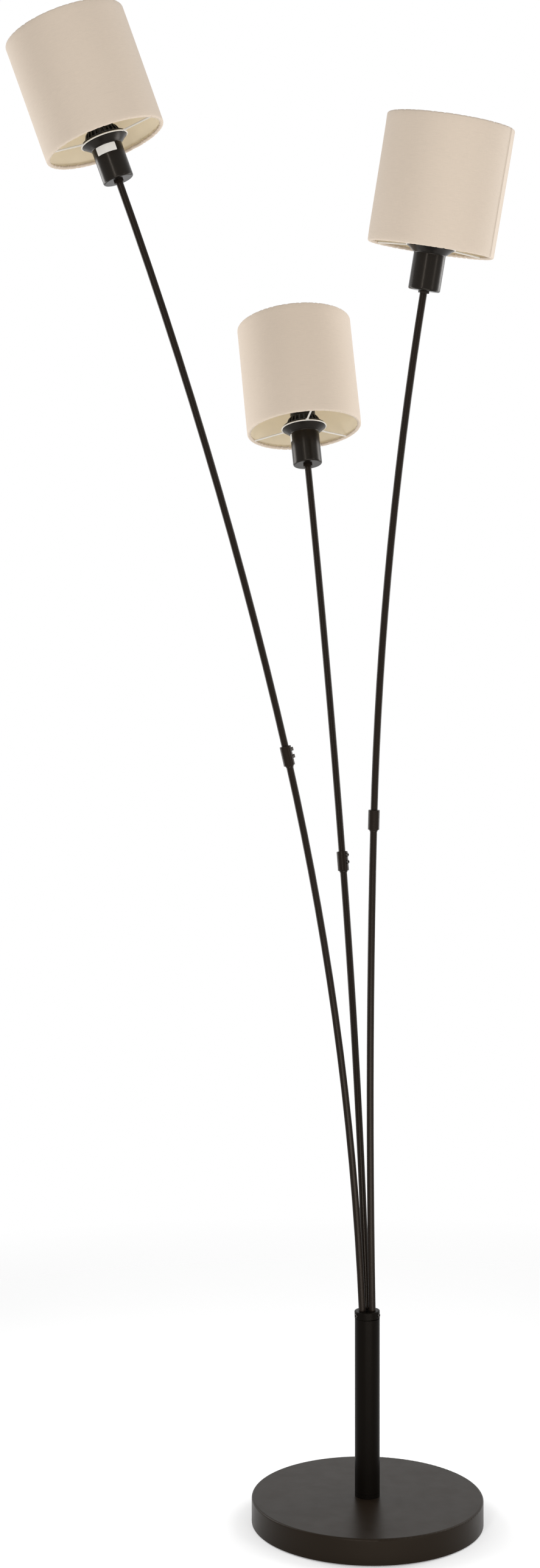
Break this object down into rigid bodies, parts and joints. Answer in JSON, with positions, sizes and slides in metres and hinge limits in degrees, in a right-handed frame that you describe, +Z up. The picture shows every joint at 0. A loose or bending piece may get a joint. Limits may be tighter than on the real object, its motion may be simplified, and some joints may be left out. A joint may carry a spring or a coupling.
{
  "type": "tree floor lamp",
  "caption": "Floor lamp with a round weighted base, a short column and bent rods of different height that each carry a small drum shade.",
  "frame": {"origin": "centre of the base's underside, on the floor", "axes": "+Z up, -Y to the front as pictured, +X to the right seen from the front"},
  "size_m": [0.5228, 0.4048, 1.6097],
  "materials": {
    "base_coat": "satin dark bronze powder coat",
    "coat": "satin dark bronze powder coat",
    "cast_weight": "rough casting",
    "foam_pad": "dense foam",
    "zinc_steel": "zinc plated",
    "screw_steel": "blackened",
    "grommet_rubber": "matt moulded",
    "white_plastic": "moulded",
    "black_plastic": "moulded",
    "brass": "pressed sheet",
    "white_wire": "white coated wire",
    "shade_cloth": "fine plain weave on a stiff lining",
    "lead_insulation": "flexible sheath"
  },
  "bodies": {
    "stand": {"base_cover": "base_coat", "base_weight": "cast_weight", "base_pad": "foam_pad", "base_stud": "zinc_steel", "base_washer": "zinc_steel", "base_nut": "zinc_steel", "inlet_grommet": "grommet_rubber", "column_tube": "coat", "column_foot": "coat", "column_cap": "coat", "cap_screws": "screw_steel", "terminal_block": "white_plastic"},
    "arm_left": {"left_lower_rod": "coat", "left_coupling": "coat", "left_coupling_screws": "screw_steel", "left_upper_rod": "coat", "left_collar": "coat", "left_cup": "coat", "left_locknut": "zinc_steel", "left_lamp_holder": "black_plastic", "left_screw_shell": "brass", "left_contact": "brass", "left_shade_ring": "black_plastic", "left_shade_frame": "white_wire", "left_top_ring": "white_wire", "left_shade_cover": "shade_cloth", "left_lead": "lead_insulation"},
    "arm_right": {"right_lower_rod": "coat", "right_coupling": "coat", "right_coupling_screws": "screw_steel", "right_upper_rod": "coat", "right_collar": "coat", "right_cup": "coat", "right_locknut": "zinc_steel", "right_lamp_holder": "black_plastic", "right_screw_shell": "brass", "right_contact": "brass", "right_shade_ring": "black_plastic", "right_shade_frame": "white_wire", "right_top_ring": "white_wire", "right_shade_cover": "shade_cloth", "right_lead": "lead_insulation"},
    "arm_middle": {"middle_lower_rod": "coat", "middle_coupling": "coat", "middle_coupling_screws": "screw_steel", "middle_upper_rod": "coat", "middle_collar": "coat", "middle_cup": "coat", "middle_locknut": "zinc_steel", "middle_lamp_holder": "black_plastic", "middle_screw_shell": "brass", "middle_contact": "brass", "middle_shade_ring": "black_plastic", "middle_shade_frame": "white_wire", "middle_top_ring": "white_wire", "middle_shade_cover": "shade_cloth", "middle_lead": "lead_insulation"}
  },
  "joints": [
    {"name": "left_arm_swivel", "type": "hinge", "parent": "stand", "child": "arm_left", "pos_m": [-0.00562, -0.0031, 0.22786], "axis": [-0.0435, -0.007, 0.999], "range_deg": [-15, 30]},
    {"name": "right_arm_swivel", "type": "hinge", "parent": "stand", "child": "arm_right", "pos_m": [0.00511, -0.0031, 0.2282], "axis": [-0.0193, -0.007, 0.9998], "range_deg": [-30, 30]},
    {"name": "middle_arm_swivel", "type": "hinge", "parent": "stand", "child": "arm_middle", "pos_m": [-0.00025, 0.0062, 0.22803], "axis": [-0.0314, 0.014, 0.9994], "range_deg": [-30, 15]}
  ]
}
